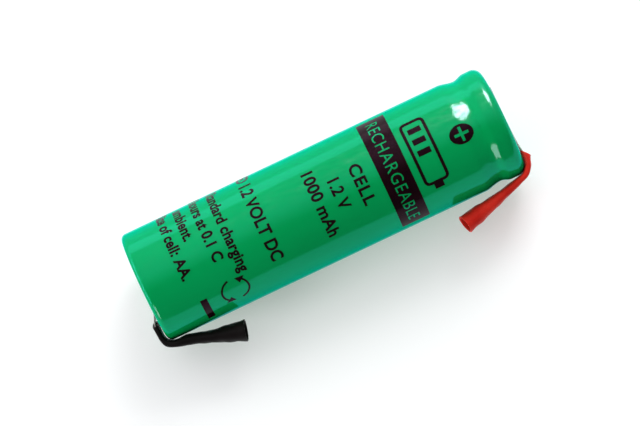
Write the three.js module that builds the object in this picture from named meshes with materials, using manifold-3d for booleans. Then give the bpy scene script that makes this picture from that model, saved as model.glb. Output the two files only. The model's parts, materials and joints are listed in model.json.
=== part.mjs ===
// AA-size rechargeable cell with two folded solder tags, for building battery packs.
//
// Units are millimetres and +Z is up.  The cell lies on its side with its axis along X and its
// positive end towards +X.  The two tags fold round the end corners on the -Y side, in one plane
// through the axis that dips a little below the horizontal.
// The origin is the bottom centre of the bounding box.

import * as THREE from 'three';
import { mergeVertices } from 'three/addons/utils/BufferGeometryUtils.js';
import Module from 'manifold-3d';

const wasm = await Module();
wasm.setup();

// ---- Driving dimensions -------------------------------------------------------------------

const CELL_LENGTH = 49;             // over the sleeve, from end plane to end plane
const CELL_RADIUS = 7.25;           // over the sleeve
const CLEARANCE = 0.05;             // between neighbouring pieces on the cell axis
const ROUND_SEGMENTS = 32;          // facets round every turned piece, one of them facing down

const SLEEVE_WALL = 0.15;
const SLEEVE_BOTTOM_LIP_RADIUS = 6.0;
const SLEEVE_TOP_LIP_RADIUS = 4.9;
const SLEEVE_BOTTOM_CORNER = 0.7;
const SLEEVE_TOP_CORNER = 1.6;
const SLEEVE_DIP_DEPTH = 0.35;      // the film spans the can's bead, so it dips less than the can

const CAN_WALL = 0.3;
const CAN_FLOOR = 0.35;
const CAN_BOTTOM_CORNER = 0.5;
const CAN_TOP_CORNER = 1.0;
const CRIMP_LIP_RADIUS = 5.3;
const BEAD_FROM_END = 3.5;          // centre of the rolled-in bead, from the positive end plane
const BEAD_DEPTH = 0.9;
const BEAD_BELOW = 2.2;             // reach of the bead towards the cell's middle
const BEAD_ABOVE = 1.4;             // reach of the bead towards the positive end

const WASHER_THICKNESS = 0.2;
const WASHER_OUTER_RADIUS = 5.9;
const GASKET_WALL = 0.35;
const GASKET_TOP_LIP_RADIUS = 5.1;
const GASKET_BOTTOM_LIP_RADIUS = 5.6;
const LID_THICKNESS = 0.55;
const LID_RADIUS = 6.25;
const LID_EDGE_CHAMFER = 0.25;
const LID_DISH_RADIUS = 2.5;
const LID_DISH_DEPTH = 0.6;
const VENT_HOLE_RADIUS = 0.8;
const CAP_SHEET = 0.3;
const CAP_BRIM_THICKNESS = 0.25;
const CAP_BRIM_RADIUS = 4.7;
const CAP_HAT_RADIUS = 3.3;
const CAP_PROUD = 0.1;              // height of the cap above the sleeve's end plane
const CAP_VENT_RADIUS = 0.2;
const CAP_VENT_COUNT = 3;
const PLUG_RADIUS = 1.7;
const PLUG_TRAVEL = 0.35;           // free height left above the plug under the cap
const PLUG_CHAMFER = 0.25;

const ROLL_START = 1.2;             // height of the wound electrodes' lower edge
const ROLL_HEIGHT = 40.2;
const ROLL_CORE_RADIUS = 1.2;
const ROLL_TURNS = 3.25;
const ROLL_STEPS_PER_TURN = 24;
const SEPARATOR_THICKNESS = 0.12;
const POSITIVE_ELECTRODE_THICKNESS = 0.55;
const NEGATIVE_ELECTRODE_THICKNESS = 0.3;
const SEPARATOR_MARGIN = 0.3;       // how far the separators stand past the electrodes' edges

const INSULATOR_RADIUS = 6.5;
const INSULATOR_THICKNESS = 0.25;
const INSULATOR_HOLE_RADIUS = 1.2;
const LEAD_WIDTH = 3.0;
const LEAD_THICKNESS = 0.15;
const LEAD_RADIUS = 4.2;            // distance from the axis at which the lead leaves the roll
const LEAD_SLOT_MARGIN = 0.25;

const STRIP_WIDTH = 3.5;
const STRIP_THICKNESS = 0.15;
const PAD_FAR_REACH = 4.2;          // from the axis to the strip's end, on the side without sleeve
const PAD_FLAT_REACH = 2.5;         // the welded zone stays flat up to here
const SLEEVE_START = 4.6;           // where the tag sleeve begins, from the axis
const TAG_LIFT = 0.5;               // strip's middle plane above the end plane inside the sleeve
const FOLD_STRIP_GAP = 0.15;        // strip's clearance on each side of the fold line
const FOLD_SLEEVE_GAP = 0.5;        // sleeve's clearance on each side of the fold line
const TAG_SLEEVE_WALL = 0.25;
const TAG_SLEEVE_WIDTH = 4.7;
const TAG_SLEEVE_THICKNESS = 0.85;
const MOUTH_WIDTH = 4.0;
const MOUTH_POWER = 2.2;            // section of the mouth, nearly an ellipse
const TAG_SLEEVE_SIDES = 20;
const TAG_ROLL = THREE.MathUtils.degToRad(12);    // dip of the tags' plane below the horizontal

const POSITIVE_TAG = {
  padLift: 0.225,                   // strip's middle plane above the end plane on the weld
  foldReach: 7.45,                  // fold line from the cell axis
  foldLift: 0.42,                   // fold line above the end plane
  splay: THREE.MathUtils.degToRad(14),
  sleeveReach: 10.7,                // from the fold line to the sleeve's mouth
  stripReach: 7.6,
  mouthThickness: 2.4,
};
const NEGATIVE_TAG = {
  padLift: -0.075,
  foldReach: 7.55,
  foldLift: 0.5,
  splay: THREE.MathUtils.degToRad(15),
  sleeveReach: 9.9,
  stripReach: 7.0,
  mouthThickness: 2.6,
};

// ---- Levels along the axis, measured from the negative end plane ----------------------------

const CAN_BOTTOM = SLEEVE_WALL + CLEARANCE;
const CAN_RADIUS = CELL_RADIUS - SLEEVE_WALL - CLEARANCE;
const WASHER_TOP = CELL_LENGTH - SLEEVE_WALL - CLEARANCE;
const WASHER_BOTTOM = WASHER_TOP - WASHER_THICKNESS;
const CAN_TOP = WASHER_BOTTOM - CLEARANCE;
const GASKET_TOP = CAN_TOP - CAN_WALL - CLEARANCE;
const GASKET_RADIUS = CAN_RADIUS - CAN_WALL - CLEARANCE;
const LID_TOP = GASKET_TOP - GASKET_WALL - CLEARANCE;
const LID_BOTTOM = LID_TOP - LID_THICKNESS;
const GASKET_BOTTOM = LID_BOTTOM - CLEARANCE - GASKET_WALL;
const BEAD_LEVEL = CELL_LENGTH - BEAD_FROM_END;
const CAP_BOTTOM = LID_TOP + CLEARANCE;
const CAP_TOP = CELL_LENGTH + CAP_PROUD;
const DISH_FLOOR = LID_TOP - LID_DISH_DEPTH;
const DISH_UNDERSIDE = LID_BOTTOM - LID_DISH_DEPTH;
const ROLL_TOP = ROLL_START + ROLL_HEIGHT;
const TOP_INSULATOR_LEVEL = ROLL_TOP + SEPARATOR_MARGIN + CLEARANCE;
const BOTTOM_INSULATOR_LEVEL = CAN_BOTTOM + CAN_FLOOR + CLEARANCE;

// ---- Shape helpers ----------------------------------------------------------------------------

const point = (radius, level) => new THREE.Vector2(radius, level);

// Points along a circular arc of an outline, both ends included; angles in degrees.
function arc(centreRadius, centreLevel, radius, fromDegrees, toDegrees, steps) {
  const points = [];
  for (let i = 0; i <= steps; i++) {
    const angle = THREE.MathUtils.degToRad(THREE.MathUtils.lerp(fromDegrees, toDegrees, i / steps));
    points.push(point(centreRadius + radius * Math.cos(angle), centreLevel + radius * Math.sin(angle)));
  }
  return points;
}

// Wall of given radius that dips smoothly inwards at the bead, as a half cosine on each side.
function beadedWall(radius, depth) {
  const steps = 4;
  const points = [];
  for (let i = -steps; i <= steps; i++) {
    const reach = i < 0 ? BEAD_BELOW : BEAD_ABOVE;
    const dip = (depth * (1 + Math.cos((Math.PI * i) / steps))) / 2;
    points.push(point(radius - dip, BEAD_LEVEL + (reach * i) / steps));
  }
  return points;
}

// Solid of revolution about X from an outline of (radius, level) points that runs anticlockwise.
// An outline that doesn't begin and end on the axis is closed on itself.
function turned(outline) {
  const onAxis = outline[0].x === 0 && outline[outline.length - 1].x === 0;
  const points = onAxis ? outline : [...outline, outline[0].clone()];
  const geometry = new THREE.LatheGeometry(points, ROUND_SEGMENTS, Math.PI / ROUND_SEGMENTS);
  geometry.rotateZ(-Math.PI / 2);
  return geometry;
}

// Solid from a closed mesh, without the zero-area triangles that a turned shape has on its axis.
function toManifold(geometry) {
  const bare = new THREE.BufferGeometry();
  bare.setAttribute('position', geometry.getAttribute('position'));
  bare.setIndex(geometry.getIndex());
  const merged = mergeVertices(bare, 1e-4);
  const corners = merged.getIndex().array;
  const triangles = [];
  for (let i = 0; i < corners.length; i += 3) {
    const [a, b, c] = corners.slice(i, i + 3);
    if (a !== b && b !== c && c !== a) triangles.push(a, b, c);
  }
  const mesh = new wasm.Mesh({
    numProp: 3,
    vertProperties: new Float32Array(merged.getAttribute('position').array),
    triVerts: new Uint32Array(triangles),
  });
  return new wasm.Manifold(mesh);
}

function cut(body, ...cutters) {
  const result = cutters.reduce((solid, cutter) => solid.subtract(toManifold(cutter)), toManifold(body));
  const mesh = result.getMesh();
  const geometry = new THREE.BufferGeometry();
  geometry.setAttribute('position', new THREE.BufferAttribute(mesh.vertProperties, 3));
  geometry.setIndex(new THREE.BufferAttribute(mesh.triVerts, 1));
  return geometry;
}

// A flat outline in the XY plane made into a ribbon of given width, centred on that plane.
function ribbon(outline, width) {
  const geometry = new THREE.ExtrudeGeometry(new THREE.Shape(outline), { depth: width, bevelEnabled: false });
  geometry.translate(0, 0, -width / 2);
  return geometry;
}

// A tube's section is { width, thickness, power }, a superellipse: power 2 is an ellipse, and
// higher powers are flatter.
function sectionBetween(from, to, along) {
  return {
    width: THREE.MathUtils.lerp(from.width, to.width, along),
    thickness: THREE.MathUtils.lerp(from.thickness, to.thickness, along),
    power: THREE.MathUtils.lerp(from.power, to.power, along),
  };
}

function shrunk(section, wall) {
  return {
    width: section.width - 2 * wall,
    thickness: section.thickness - 2 * wall,
    power: section.power,
  };
}

const signedPower = (value, exponent) => Math.sign(value) * Math.abs(value) ** exponent;

// Rod along +X whose section changes evenly from one end to the other.
function morphedRod(start, end, from, to, steps) {
  const circle = new THREE.Shape();
  circle.absarc(0, 0, 1, 0, 2 * Math.PI);
  const geometry = new THREE.ExtrudeGeometry(circle, {
    depth: 1,
    steps,
    curveSegments: TAG_SLEEVE_SIDES / 2,
    bevelEnabled: false,
  });
  const position = geometry.getAttribute('position');
  for (let i = 0; i < position.count; i++) {
    const along = position.getZ(i);
    const section = sectionBetween(from, to, along);
    const exponent = 2 / section.power;
    const across = (signedPower(position.getX(i), exponent) * section.width) / 2;
    const through = (signedPower(position.getY(i), exponent) * section.thickness) / 2;
    position.setXYZ(i, THREE.MathUtils.lerp(start, end, along), through, -across);
  }
  return geometry;
}

// Open-ended tube with the same changing section; its bore runs a little past both ends.
function morphedTube(start, end, from, to, wall, steps) {
  const tube = morphedRod(start, end, from, to, steps);
  const overrun = 0.1 / (end - start);
  const boreStart = sectionBetween(shrunk(from, wall), shrunk(to, wall), -overrun);
  const boreEnd = sectionBetween(shrunk(from, wall), shrunk(to, wall), 1 + overrun);
  return cut(tube, morphedRod(start - 0.1, end + 0.1, boreStart, boreEnd, steps));
}

function paint(color, roughness, metalness) {
  return new THREE.MeshStandardMaterial({ color, roughness, metalness });
}

function piece(name, geometry, material) {
  const mesh = new THREE.Mesh(geometry, material);
  mesh.name = name;
  return mesh;
}

const nickelStrip = () => paint(0xc9c8c4, 0.32, 1);
const platedSteel = () => paint(0xbfc1c2, 0.28, 1);

// ---- Outside of the cell ------------------------------------------------------------------------

// Outline of the shrunk film from lip to lip, at a given depth under its outer surface.
function filmSurface(depth) {
  const radius = CELL_RADIUS - depth;
  const bottomCorner = SLEEVE_BOTTOM_CORNER;
  const topCorner = SLEEVE_TOP_CORNER;
  return [
    point(SLEEVE_BOTTOM_LIP_RADIUS, depth),
    ...arc(CELL_RADIUS - bottomCorner, bottomCorner, bottomCorner - depth, -90, 0, 3),
    ...beadedWall(radius, SLEEVE_DIP_DEPTH),
    ...arc(CELL_RADIUS - topCorner, CELL_LENGTH - topCorner, topCorner - depth, 0, 90, 4),
    point(SLEEVE_TOP_LIP_RADIUS, CELL_LENGTH - depth),
  ];
}

function heatShrinkSleeve() {
  const outline = [...filmSurface(0), ...filmSurface(SLEEVE_WALL).reverse()];
  return piece('heat_shrink_sleeve', turned(outline), paint(0x00a468, 0.28, 0));
}

// Deep-drawn cup with a bead rolled in below the lid and its rim crimped over the gasket.
function steelCan() {
  // Outline from the floor to the crimp's lip, at a given depth under the can's outer surface.
  const surface = (wallDepth, floorDepth) => {
    const bottomRadius = CAN_BOTTOM_CORNER - wallDepth;
    const bottomCentre = CAN_BOTTOM + floorDepth + bottomRadius;
    return [
      point(0, CAN_BOTTOM + floorDepth),
      ...arc(CAN_RADIUS - CAN_BOTTOM_CORNER, bottomCentre, bottomRadius, -90, 0, 3),
      ...beadedWall(CAN_RADIUS - wallDepth, BEAD_DEPTH),
      ...arc(CAN_RADIUS - CAN_TOP_CORNER, CAN_TOP - CAN_TOP_CORNER, CAN_TOP_CORNER - wallDepth, 0, 90, 3),
      point(CRIMP_LIP_RADIUS, CAN_TOP - wallDepth),
    ];
  };
  const outline = [...surface(0, 0), ...surface(CAN_WALL, CAN_FLOOR).reverse()];
  return piece('steel_can', turned(outline), platedSteel());
}

// White fibre ring on the crimp, held by the sleeve's lip, that keeps the tag off the can.
function insulatingWasher() {
  const hole = CAP_HAT_RADIUS + 0.25;
  const outline = [
    point(hole, WASHER_BOTTOM),
    point(WASHER_OUTER_RADIUS, WASHER_BOTTOM),
    point(WASHER_OUTER_RADIUS, WASHER_TOP),
    point(hole, WASHER_TOP),
  ];
  return piece('insulating_washer', turned(outline), paint(0xeceae2, 0.85, 0));
}

// ---- Closure at the positive end ------------------------------------------------------------------

// Nylon ring of C section: under the lid, round its edge and over it, below the crimp.
function sealGasket() {
  const corner = CAN_TOP_CORNER - CAN_WALL - CLEARANCE;
  const centreRadius = GASKET_RADIUS - corner;
  const centreLevel = GASKET_TOP - corner;
  const outline = [
    point(GASKET_BOTTOM_LIP_RADIUS, GASKET_BOTTOM),
    point(GASKET_RADIUS, GASKET_BOTTOM),
    ...arc(centreRadius, centreLevel, corner, 0, 90, 3),
    point(GASKET_TOP_LIP_RADIUS, GASKET_TOP),
    point(GASKET_TOP_LIP_RADIUS, GASKET_TOP - GASKET_WALL),
    ...arc(centreRadius, centreLevel, corner - GASKET_WALL, 90, 0, 2),
    point(GASKET_RADIUS - GASKET_WALL, GASKET_BOTTOM + GASKET_WALL),
    point(GASKET_BOTTOM_LIP_RADIUS, GASKET_BOTTOM + GASKET_WALL),
  ];
  return piece('seal_gasket', turned(outline), paint(0xd9d6c8, 0.5, 0));
}

// Dished sealing plate with the vent hole at its centre.
function lidPlate() {
  const dishWall = LID_THICKNESS;
  const outline = [
    point(VENT_HOLE_RADIUS, DISH_UNDERSIDE),
    point(LID_DISH_RADIUS + dishWall / 2, DISH_UNDERSIDE),
    point(LID_DISH_RADIUS + dishWall, LID_BOTTOM),
    point(LID_RADIUS, LID_BOTTOM),
    point(LID_RADIUS, LID_TOP - LID_EDGE_CHAMFER),
    point(LID_RADIUS - LID_EDGE_CHAMFER, LID_TOP),
    point(LID_DISH_RADIUS, LID_TOP),
    point(LID_DISH_RADIUS - dishWall / 2, DISH_FLOOR),
    point(VENT_HOLE_RADIUS, DISH_FLOOR),
  ];
  return piece('lid_plate', turned(outline), platedSteel());
}

// Low hat with a brim, and small gas holes through its wall.
function positiveCap() {
  const inside = CAP_HAT_RADIUS - CAP_SHEET;
  const brimTop = CAP_BOTTOM + CAP_BRIM_THICKNESS;
  const outline = [
    point(0, CAP_TOP - CAP_SHEET),
    point(inside, CAP_TOP - CAP_SHEET),
    point(inside, CAP_BOTTOM),
    point(CAP_BRIM_RADIUS, CAP_BOTTOM),
    point(CAP_BRIM_RADIUS, brimTop),
    point(CAP_HAT_RADIUS, brimTop),
    ...arc(inside, CAP_TOP - CAP_SHEET, CAP_SHEET, 0, 90, 2),
    point(0, CAP_TOP),
  ];
  const ventHoles = [];
  for (let i = 0; i < CAP_VENT_COUNT; i++) {
    const hole = new THREE.CylinderGeometry(CAP_VENT_RADIUS, CAP_VENT_RADIUS, 2, 8);
    hole.translate(brimTop + CAP_VENT_RADIUS, CAP_HAT_RADIUS, 0);
    hole.rotateX((2 * Math.PI * i) / CAP_VENT_COUNT);
    ventHoles.push(hole);
  }
  return piece('positive_cap', cut(turned(outline), ...ventHoles), platedSteel());
}

// Rubber plug that the cap presses on the vent hole; gas lifts it along the axis.
function ventPlug() {
  const base = DISH_FLOOR + CLEARANCE;
  const top = CAP_TOP - CAP_SHEET - PLUG_TRAVEL;
  const outline = [
    point(0, base),
    point(PLUG_RADIUS, base),
    point(PLUG_RADIUS, top - PLUG_CHAMFER),
    point(PLUG_RADIUS - PLUG_CHAMFER, top),
    point(0, top),
  ];
  return piece('vent_plug', turned(outline), paint(0x1c1c1e, 0.75, 0));
}

// ---- Wound electrodes and their insulation --------------------------------------------------------

const separatorFelt = () => paint(0xe8e6de, 0.9, 0);

// From the innermost layer outwards; a margin is how far the layer stands past the electrodes.
const ROLL_LAYERS = [
  {
    name: 'inner_separator',
    thickness: SEPARATOR_THICKNESS,
    margin: SEPARATOR_MARGIN,
    material: separatorFelt(),
  },
  {
    name: 'positive_electrode',
    thickness: POSITIVE_ELECTRODE_THICKNESS,
    margin: 0,
    material: paint(0x3a4440, 0.8, 0.3),
  },
  {
    name: 'outer_separator',
    thickness: SEPARATOR_THICKNESS,
    margin: SEPARATOR_MARGIN,
    material: separatorFelt(),
  },
  {
    name: 'negative_electrode',
    thickness: NEGATIVE_ELECTRODE_THICKNESS,
    margin: 0,
    material: paint(0x5b5b5e, 0.7, 0.5),
  },
];

const rollPitch = () => ROLL_LAYERS.reduce((sum, layer) => sum + layer.thickness + CLEARANCE, 0);

// One layer of the roll: a spiral strip standing along the axis.
function spiralLayer(innerRadius, pitch, layer) {
  const steps = Math.round(ROLL_TURNS * ROLL_STEPS_PER_TURN);
  const edge = (offset) => Array.from({ length: steps + 1 }, (_, i) => {
    const angle = (2 * Math.PI * i) / ROLL_STEPS_PER_TURN;
    const radius = innerRadius + offset + (pitch * i) / ROLL_STEPS_PER_TURN;
    return point(radius * Math.cos(angle), radius * Math.sin(angle));
  });
  const outline = [...edge(layer.thickness), ...edge(0).reverse()];
  const height = ROLL_HEIGHT + 2 * layer.margin;
  const geometry = ribbon(outline, height);
  geometry.rotateY(Math.PI / 2);
  geometry.translate(ROLL_START + ROLL_HEIGHT / 2, 0, 0);
  return piece(layer.name, geometry, layer.material);
}

function woundRoll() {
  const pitch = rollPitch();
  let radius = ROLL_CORE_RADIUS;
  return ROLL_LAYERS.map((layer) => {
    const spiral = spiralLayer(radius, pitch, layer);
    radius += layer.thickness + CLEARANCE;
    return spiral;
  });
}

function insulatorDisc(bottom) {
  const top = bottom + INSULATOR_THICKNESS;
  return turned([
    point(INSULATOR_HOLE_RADIUS, bottom),
    point(INSULATOR_RADIUS, bottom),
    point(INSULATOR_RADIUS, top),
    point(INSULATOR_HOLE_RADIUS, top),
  ]);
}

// The upper disc has a slot through which the positive lead rises.
function topInsulatorDisc() {
  const slot = new THREE.BoxGeometry(
    4 * INSULATOR_THICKNESS,
    LEAD_THICKNESS + 2 * LEAD_SLOT_MARGIN,
    LEAD_WIDTH + 2 * LEAD_SLOT_MARGIN,
  );
  slot.translate(TOP_INSULATOR_LEVEL, LEAD_RADIUS, 0);
  const disc = insulatorDisc(TOP_INSULATOR_LEVEL);
  return piece('top_insulator_disc', cut(disc, slot), paint(0xd8d2b8, 0.8, 0));
}

function bottomInsulatorDisc() {
  return piece('bottom_insulator_disc', insulatorDisc(BOTTOM_INSULATOR_LEVEL), paint(0xd8d2b8, 0.8, 0));
}

// Nickel ribbon from the roll's upper edge, through the slot and across under the lid's dish.
function positiveCollectorLead() {
  const half = LEAD_THICKNESS / 2;
  const foot = ROLL_TOP + SEPARATOR_MARGIN + CLEARANCE;
  const shoulder = DISH_UNDERSIDE - 1.6;
  const weld = DISH_UNDERSIDE - CLEARANCE - LEAD_THICKNESS;
  const weldReach = 1.6;
  const outline = [
    point(foot, LEAD_RADIUS - half),
    point(foot, LEAD_RADIUS + half),
    point(shoulder + half, LEAD_RADIUS + half),
    point(weld + LEAD_THICKNESS, weldReach + half),
    point(weld + LEAD_THICKNESS, -weldReach),
    point(weld, -weldReach),
    point(weld, weldReach),
    point(shoulder, LEAD_RADIUS - half),
  ];
  return piece('positive_collector_lead', ribbon(outline, LEAD_WIDTH), nickelStrip());
}

// ---- Solder tags -------------------------------------------------------------------------------------
// A tag is built in the frame of its end: X points out of the cell's end, -Y points from the axis
// towards the fold, and Z runs across the strip.

// Strip welded across the end, which steps up to pass through the tag sleeve to the fold.
function tagPad(name, tag) {
  const middle = [
    point(tag.padLift, PAD_FAR_REACH),
    point(tag.padLift, -PAD_FLAT_REACH),
    point(TAG_LIFT, -SLEEVE_START),
    point(TAG_LIFT, FOLD_STRIP_GAP - tag.foldReach),
  ];
  const half = STRIP_THICKNESS / 2;
  const outline = [
    ...middle.map((p) => point(p.x - half, p.y)),
    ...middle.map((p) => point(p.x + half, p.y)).reverse(),
  ];
  return piece(name, ribbon(outline, STRIP_WIDTH), nickelStrip());
}

const FLAT_SECTION = { width: TAG_SLEEVE_WIDTH, thickness: TAG_SLEEVE_THICKNESS, power: 6 };

// Short stretch of sleeve that stays on the cell's end.
function sleeveHeel(name, tag, material) {
  const start = SLEEVE_START;
  const end = tag.foldReach - FOLD_SLEEVE_GAP;
  const heel = piece(name, morphedTube(start, end, FLAT_SECTION, FLAT_SECTION, TAG_SLEEVE_WALL, 1), material);
  heel.rotation.z = -Math.PI / 2;
  heel.position.x = TAG_LIFT;
  return heel;
}

// The strip's free end, along +X from the fold line.
function tagLeg(name, tag) {
  const leg = new THREE.BoxGeometry(tag.stripReach - FOLD_STRIP_GAP, STRIP_THICKNESS, STRIP_WIDTH);
  leg.translate((tag.stripReach + FOLD_STRIP_GAP) / 2, 0, 0);
  return piece(name, leg, nickelStrip());
}

// Sleeve over the free end: pressed flat at the fold, and opening to an oval mouth.
function tagSleeve(name, tag, material) {
  const mouth = { width: MOUTH_WIDTH, thickness: tag.mouthThickness, power: MOUTH_POWER };
  const tube = morphedTube(FOLD_SLEEVE_GAP, tag.sleeveReach, FLAT_SECTION, mouth, TAG_SLEEVE_WALL, 5);
  return piece(name, tube, material);
}

function tagEnd(name, tag, sleeveColour) {
  const end = new THREE.Group();
  end.add(tagPad(`${name}_tag_pad`, tag));
  end.add(sleeveHeel(`${name}_sleeve_heel`, tag, paint(sleeveColour, 0.35, 0)));
  const fold = new THREE.Group();
  fold.name = `${name}_fold`;
  fold.position.set(tag.foldLift, -tag.foldReach, 0);
  fold.rotation.z = Math.PI + tag.splay;
  fold.add(tagLeg(`${name}_tag_leg`, tag));
  fold.add(tagSleeve(`${name}_tag_sleeve`, tag, paint(sleeveColour, 0.35, 0)));
  end.add(fold);
  return end;
}

function tags() {
  const plane = new THREE.Group();
  plane.rotation.x = TAG_ROLL;
  const positiveEnd = tagEnd('positive', POSITIVE_TAG, 0xd8281c);
  positiveEnd.position.x = CELL_LENGTH;
  const negativeEnd = tagEnd('negative', NEGATIVE_TAG, 0x171414);
  negativeEnd.rotation.y = Math.PI;
  plane.add(positiveEnd, negativeEnd);
  return plane;
}

// ---- Assembly ------------------------------------------------------------------------------------------

const cell = new THREE.Group();
cell.add(heatShrinkSleeve(), steelCan(), insulatingWasher());
cell.add(sealGasket(), lidPlate(), positiveCap(), ventPlug());
cell.add(...woundRoll());
cell.add(topInsulatorDisc(), bottomInsulatorDisc(), positiveCollectorLead());
cell.add(tags());

const bounds = new THREE.Box3().setFromObject(cell, true);
const centre = bounds.getCenter(new THREE.Vector3());
cell.position.set(-centre.x, -centre.y, -bounds.min.z);

const battery = new THREE.Group();
battery.add(cell);

export default battery;
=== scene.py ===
# Looks of the AA-size rechargeable cell with two folded solder tags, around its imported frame.
#
# Shapes are written in millimetres in the cell's own frame and turned into metres by place():
# "level" runs along the axis from the negative end plane, "out" from the axis towards the folds
# of the two tags, and "across" over the width of the tags. The roll, its cards and the lead stand
# along the frame's own Y and Z instead, and go through upright().

import json
from math import asin, ceil, cos, exp, floor, pi, radians, sin

import bmesh
import bpy
from mathutils import Matrix, Vector


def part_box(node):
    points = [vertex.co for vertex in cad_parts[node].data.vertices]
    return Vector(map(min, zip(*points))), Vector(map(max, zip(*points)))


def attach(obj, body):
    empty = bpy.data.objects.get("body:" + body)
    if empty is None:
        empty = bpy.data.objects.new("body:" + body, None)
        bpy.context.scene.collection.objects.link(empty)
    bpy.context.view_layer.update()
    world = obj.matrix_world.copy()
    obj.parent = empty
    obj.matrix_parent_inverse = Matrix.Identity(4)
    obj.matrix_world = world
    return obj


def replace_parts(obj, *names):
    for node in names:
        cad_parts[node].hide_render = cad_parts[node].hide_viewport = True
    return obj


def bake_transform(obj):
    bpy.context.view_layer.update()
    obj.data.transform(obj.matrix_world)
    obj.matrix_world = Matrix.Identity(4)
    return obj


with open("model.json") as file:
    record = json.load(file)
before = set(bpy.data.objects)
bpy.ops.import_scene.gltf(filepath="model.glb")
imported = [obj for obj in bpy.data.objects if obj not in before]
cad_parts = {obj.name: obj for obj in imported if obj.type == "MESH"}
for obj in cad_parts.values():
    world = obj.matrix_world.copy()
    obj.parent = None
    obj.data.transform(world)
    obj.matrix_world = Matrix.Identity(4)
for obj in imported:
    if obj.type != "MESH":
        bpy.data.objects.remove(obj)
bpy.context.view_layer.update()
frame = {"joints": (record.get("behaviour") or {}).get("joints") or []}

# ---- Frame of the cell ----------------------------------------------------------------------

MM = 0.001
FILM_LOW, FILM_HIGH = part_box("heat_shrink_sleeve")
CENTRE = Vector((0, (FILM_LOW.y + FILM_HIGH.y) / 2, (FILM_LOW.z + FILM_HIGH.z) / 2))
RADIUS = (FILM_HIGH.z - FILM_LOW.z) / 2 / MM
LENGTH = (FILM_HIGH.x - FILM_LOW.x) / MM
JOINTS = {joint["name"]: joint for joint in frame["joints"]}
ALONG = Vector((1, 0, 0))
ACROSS = Vector(JOINTS["positive_tag_bend"]["axis"])
OUT = ALONG.cross(ACROSS)


def place(level, out, across):
    """World position, in metres, of a point of the cell's own frame, in millimetres."""
    along = ALONG * (level - LENGTH / 2)
    return CENTRE + (along + OUT * out + ACROSS * across) * MM


def upright(level, y, z):
    """World position of a point whose place off the axis is given along the frame's Y and Z."""
    return CENTRE + Vector((level - LENGTH / 2, y, z)) * MM


def node_levels(node):
    """Lowest and highest level of a CAD node, in millimetres from the negative end plane."""
    low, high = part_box(node)
    return low.x / MM + LENGTH / 2, high.x / MM + LENGTH / 2


# ---- Driving dimensions ---------------------------------------------------------------------
# Lengths are in millimetres, angles in degrees. Sides, steps and columns are counts of faces.

ROUND_SIDES = 192
SHARP_ANGLE = 38
SOFT_SHARP_ANGLE = 60
MOST_OF_SIDE = 0.48
MERGE_DISTANCE = 0.0001
PIECE_GAP = 0.05
CARD_EASE = 0.05
CUT_MARGIN = 1

FILM_WALL = 0.15
BOTTOM_LIP_RADIUS = 6.0
TOP_LIP_RADIUS = 4.9
BOTTOM_CORNER = 0.7
TOP_CORNER = 1.2
DIP_DEPTH = 0.35
BEAD_LEVEL = LENGTH - 3.5
BEAD_BELOW = 2.2
BEAD_ABOVE = 1.4
BEAD_STEPS = 28

# Waves in the film: height, number round the film, turn per millimetre of level, and phase.
SLOW_WAVES = ((0.010, 3, 0.11, 0), (0.006, 7, -0.23, 1.3))
BEAD_WAVES = ((0.0225, 8, 0.9, 0), (0.015, 13, -0.7, 2.0))
BEAD_WAVES_LEVEL = BEAD_LEVEL + 1.0
BEAD_WAVES_REACH = 1.6
LIP_WAVES = ((0.08, 3, 0, 0.6), (0.048, 7, 0, 2.1), (0.032, 11, 0, 0))
LIP_PUCKERS = ((0.010294, 31, 0, 0), (0.007206, 19, 0, 1.0))

# The can is slightly narrower than the CAD's, which keeps it clear of the waved film.
CAN_RADIUS = 7.03
CAN_WALL = 0.3
CAN_FLOOR = 0.35
CAN_BOTTOM_CORNER = 0.5
CAN_TOP_CORNER = 1.0
CAN_BEAD_DEPTH = 0.9
CRIMP_LIP_RADIUS = 5.3

WASHER_HOLE = 3.55
WASHER_RADIUS = 5.9
CAP_BRIM_RADIUS = 4.7
CAP_HAT_RADIUS = 3.3
CAP_SHEET = 0.3
CAP_BRIM_THICKNESS = 0.25
CAP_EASE = 0.2
CAP_HOLE_RADIUS = 0.2
CAP_HOLE_SIDES = 24
CAP_HOLES = 3

GASKET_RADIUS = 6.7
GASKET_WALL = 0.35
GASKET_TOP_LIP = 5.1
GASKET_BOTTOM_LIP = 5.6
GASKET_EASE = 0.06
LID_RADIUS = 6.25
LID_THICKNESS = 0.55
LID_EASE = 0.18
DISH_RADIUS = 2.5
DISH_DEPTH = 0.6
VENT_HOLE_RADIUS = 0.8
PLUG_RADIUS = 1.7
PLUG_EASE = 0.22

ROLL_CORE_RADIUS = 1.2
ROLL_TURNS = 3.25
ROLL_STEPS = 72
CARD_RADIUS = 6.5
CARD_HOLE = 1.2
LEAD_WIDTH = 3.0
LEAD_REACH = 4.2
LEAD_WELD_REACH = 1.6
LEAD_RISE = 1.55
LEAD_BEND = 0.5
SLOT_MARGIN = 0.25

STRIP_WIDTH = 3.5
STRIP_THICKNESS = 0.15
STRIP_COLUMNS = 30
STRIP_STEPS = 16
WELDS = ((-2.2, -0.8), (-2.2, 0.8), (1.2, -0.8), (1.2, 0.8))
WELD_RADIUS = 0.42
WELD_DEPTH = 0.08
WELD_SHARE_BELOW = 0.5

TUBE_WALL = 0.2
TUBE_SIDES = 56
TUBE_STEPS = 12
TUBE_EASE = 0.05
TUBE_CREASE = 0.03
TUBE_CREASE_SPAN = 0.2
# Waves in a tube's thickness: as in the film, but shares of it, and turning along the tube's run.
TUBE_WAVES = ((0.03, 2, 2.3, 0), (0.02, -3, 4.1, 0))
START_FADE = 2.2
MOUTH_FADE = 4.4

INK_LIFT = 0.004
INK_THICKNESS = 0.012
PRINT_STEP = 0.3
KNOCKOUT_STRETCH = 4
CAPITAL_MIDDLE = 0.36
FONT_MERGE_DISTANCE = 1e-5


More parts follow.
